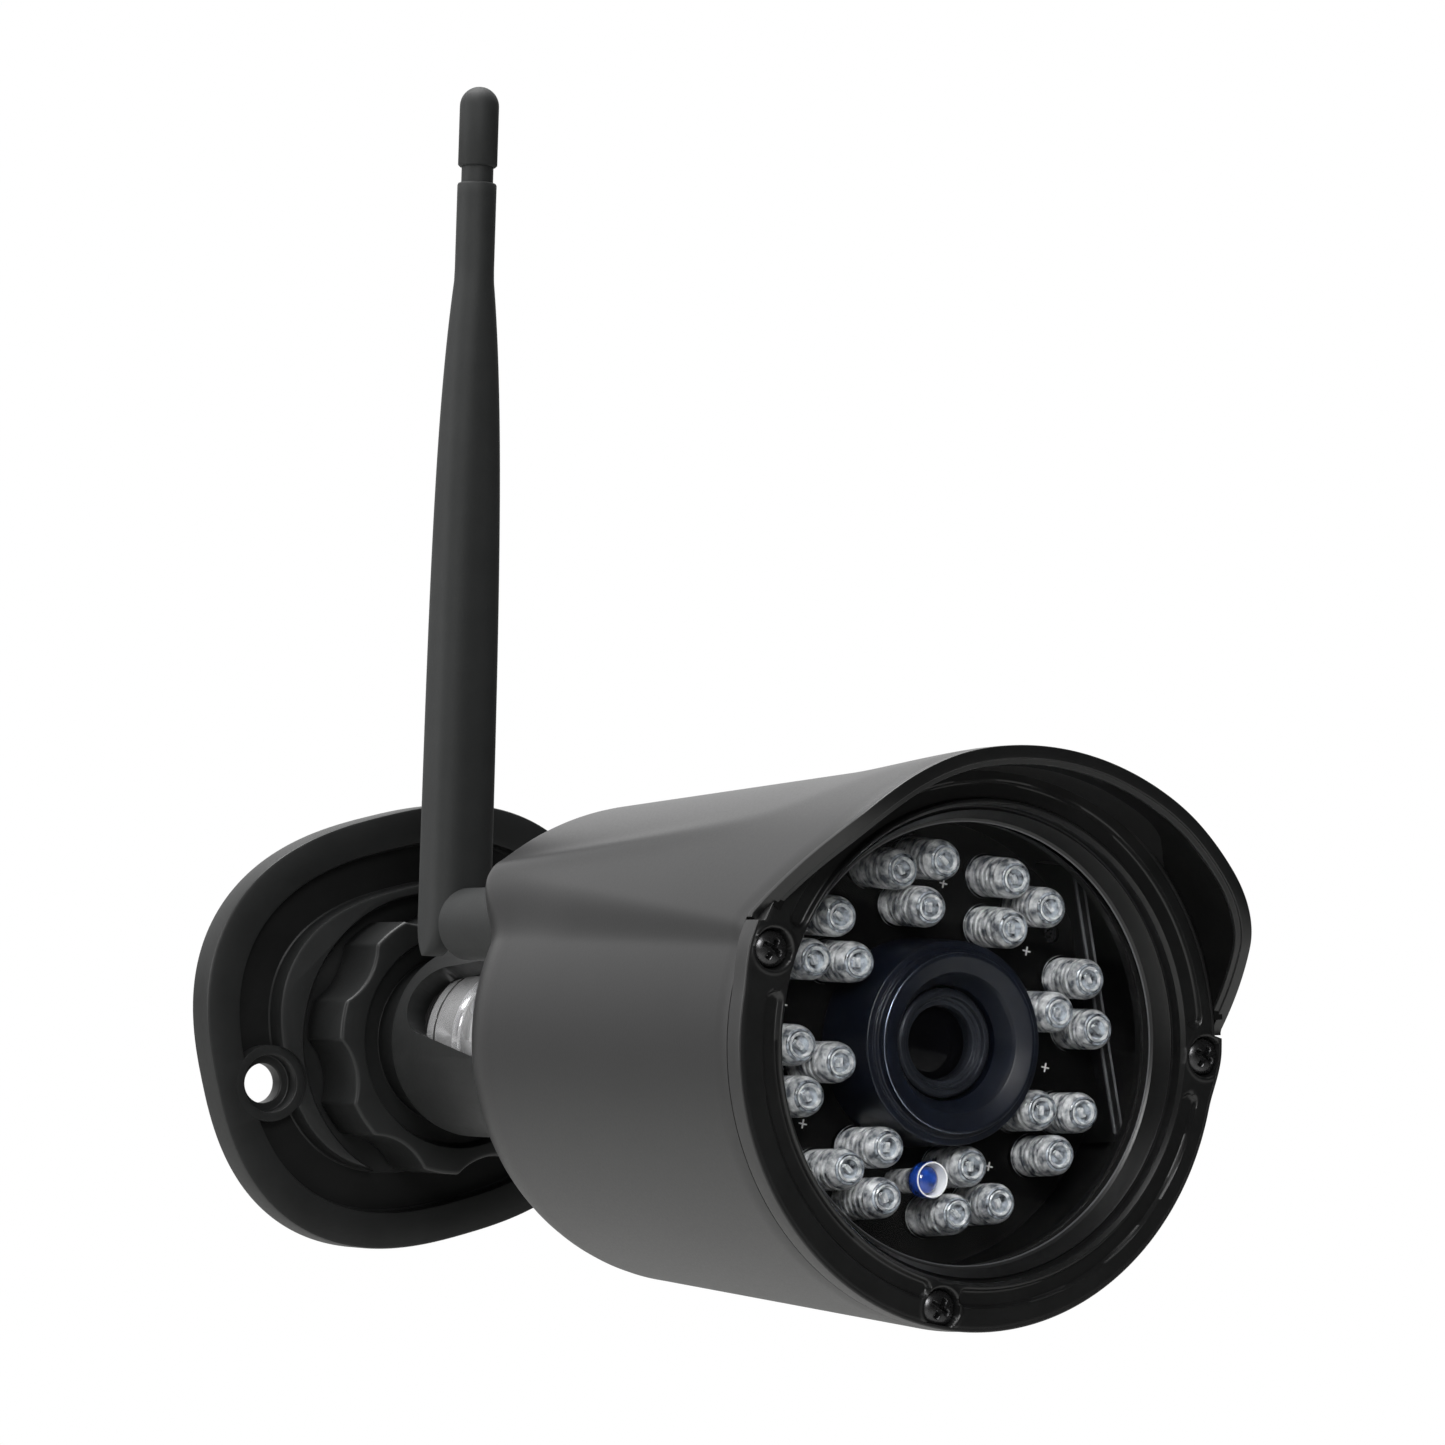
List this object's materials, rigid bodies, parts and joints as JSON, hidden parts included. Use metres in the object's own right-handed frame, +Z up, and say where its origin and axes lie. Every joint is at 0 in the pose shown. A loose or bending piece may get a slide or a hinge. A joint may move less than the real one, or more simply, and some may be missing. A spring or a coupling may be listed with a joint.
{
  "type": "security camera",
  "caption": "Bullet camera with a curved visor, a ring of infrared lamps round the lens, a folding aerial and a ball-jointed wall bracket.",
  "frame": {"origin": "centre of the wall plate's back face, on the stem's axis", "axes": "+Y out of the back of the plate into the wall, -Y the way the lens looks, +Z up"},
  "size_m": [0.0787, 0.156, 0.1573],
  "materials": {
    "bracket_black": "satin black moulded plastic",
    "rubber_black": "black rubber",
    "chrome_steel": "bright chrome plate",
    "steel": "zinc plated steel",
    "brass": "turned brass",
    "charcoal_shell": "satin charcoal enamel",
    "trim_black": "black moulded plastic with a soft shine",
    "screw_black": "black oxide",
    "clear_glass": "clear flat glass",
    "board_black": "black solder mask",
    "lamp_clear": "clear moulded epoxy",
    "sensor_blue": "clear epoxy over a blue chip",
    "shroud_satin": "satin blue-black",
    "lens_glass": "coated optical glass",
    "filter_glass": "tinted filter glass",
    "board_green": "green solder mask",
    "chip_black": "black epoxy",
    "ribbon_white": "white flat ribbon",
    "antenna_matte": "matt black elastomer"
  },
  "bodies": {
    "bracket": {"wall_plate": "bracket_black"},
    "clamp": {"clamp_ring": "bracket_black"},
    "stem": {"stem": "bracket_black", "friction_washer": "rubber_black", "ball_seat": "chrome_steel"},
    "ball": {"ball_stud": "chrome_steel"},
    "jam_nut": {"stud_nut": "steel"},
    "filter": {"ir_cut_carrier": "chip_black", "ir_cut_filter": "filter_glass"},
    "antenna_base": {"antenna_barrel": "antenna_matte", "antenna_pin": "steel"},
    "antenna": {"antenna_blade": "antenna_matte", "antenna_core": "brass", "antenna_cap": "antenna_matte"},
    "head": {"housing": "charcoal_shell", "stud_insert": "brass", "visor_trim": "trim_black", "front_bezel": "trim_black", "bezel_screws": "screw_black", "body_seal": "rubber_black", "window_glass": "clear_glass", "glass_gasket": "rubber_black", "glass_retainer": "trim_black", "led_board": "board_black", "board_frame": "trim_black", "ir_leds": "lamp_clear", "light_sensor": "sensor_blue", "lens_shroud": "shroud_satin", "lens_barrel": "shroud_satin", "lens_front_glass": "lens_glass", "lens_rear_glass": "lens_glass", "lens_holder": "chip_black", "sensor_board": "board_green", "image_sensor": "chip_black", "front_spacers": "brass", "main_board": "board_green", "shield_can": "steel", "board_chips": "chip_black", "rear_spacers": "brass", "board_screws": "steel", "led_lead": "ribbon_white", "cable_gland": "rubber_black", "antenna_socket": "brass", "socket_nut": "brass", "aerial_lead": "rubber_black"}
  },
  "joints": [
    {"name": "clamp_turn", "type": "hinge", "parent": "bracket", "child": "clamp", "pos_m": [0, 0, 0], "axis": [0, -1, 0], "range_deg": [-90, 0]},
    {"name": "stem_pan", "type": "hinge", "parent": "bracket", "child": "stem", "pos_m": [0, 0, 0], "axis": [0, -1, 0], "continuous": true},
    {"name": "ball_tilt", "type": "hinge", "parent": "stem", "child": "ball", "pos_m": [0, -0.0335, 0], "axis": [0.342, 0, 0.9397], "range_deg": [-40, 12]},
    {"name": "nut_turn", "type": "hinge", "parent": "ball", "child": "jam_nut", "pos_m": [0, -0.05, 0], "axis": [0, -1, 0], "range_deg": [0, 180]},
    {"name": "head_roll", "type": "hinge", "parent": "ball", "child": "head", "pos_m": [0, -0.06, 0], "axis": [0, -1, 0], "continuous": true},
    {"name": "filter_slide", "type": "slide", "parent": "head", "child": "filter", "axis": [1, 0, 0], "range_m": [0, 0.006]},
    {"name": "antenna_swivel", "type": "hinge", "parent": "head", "child": "antenna_base", "pos_m": [-0.021, -0.05, 0.0118], "axis": [0, -1, 0], "range_deg": [-70, 150]},
    {"name": "antenna_fold", "type": "hinge", "parent": "antenna_base", "child": "antenna", "pos_m": [-0.021, -0.0445, 0.0118], "axis": [-0.9848, 0, -0.1736], "range_deg": [0, 30]}
  ]
}
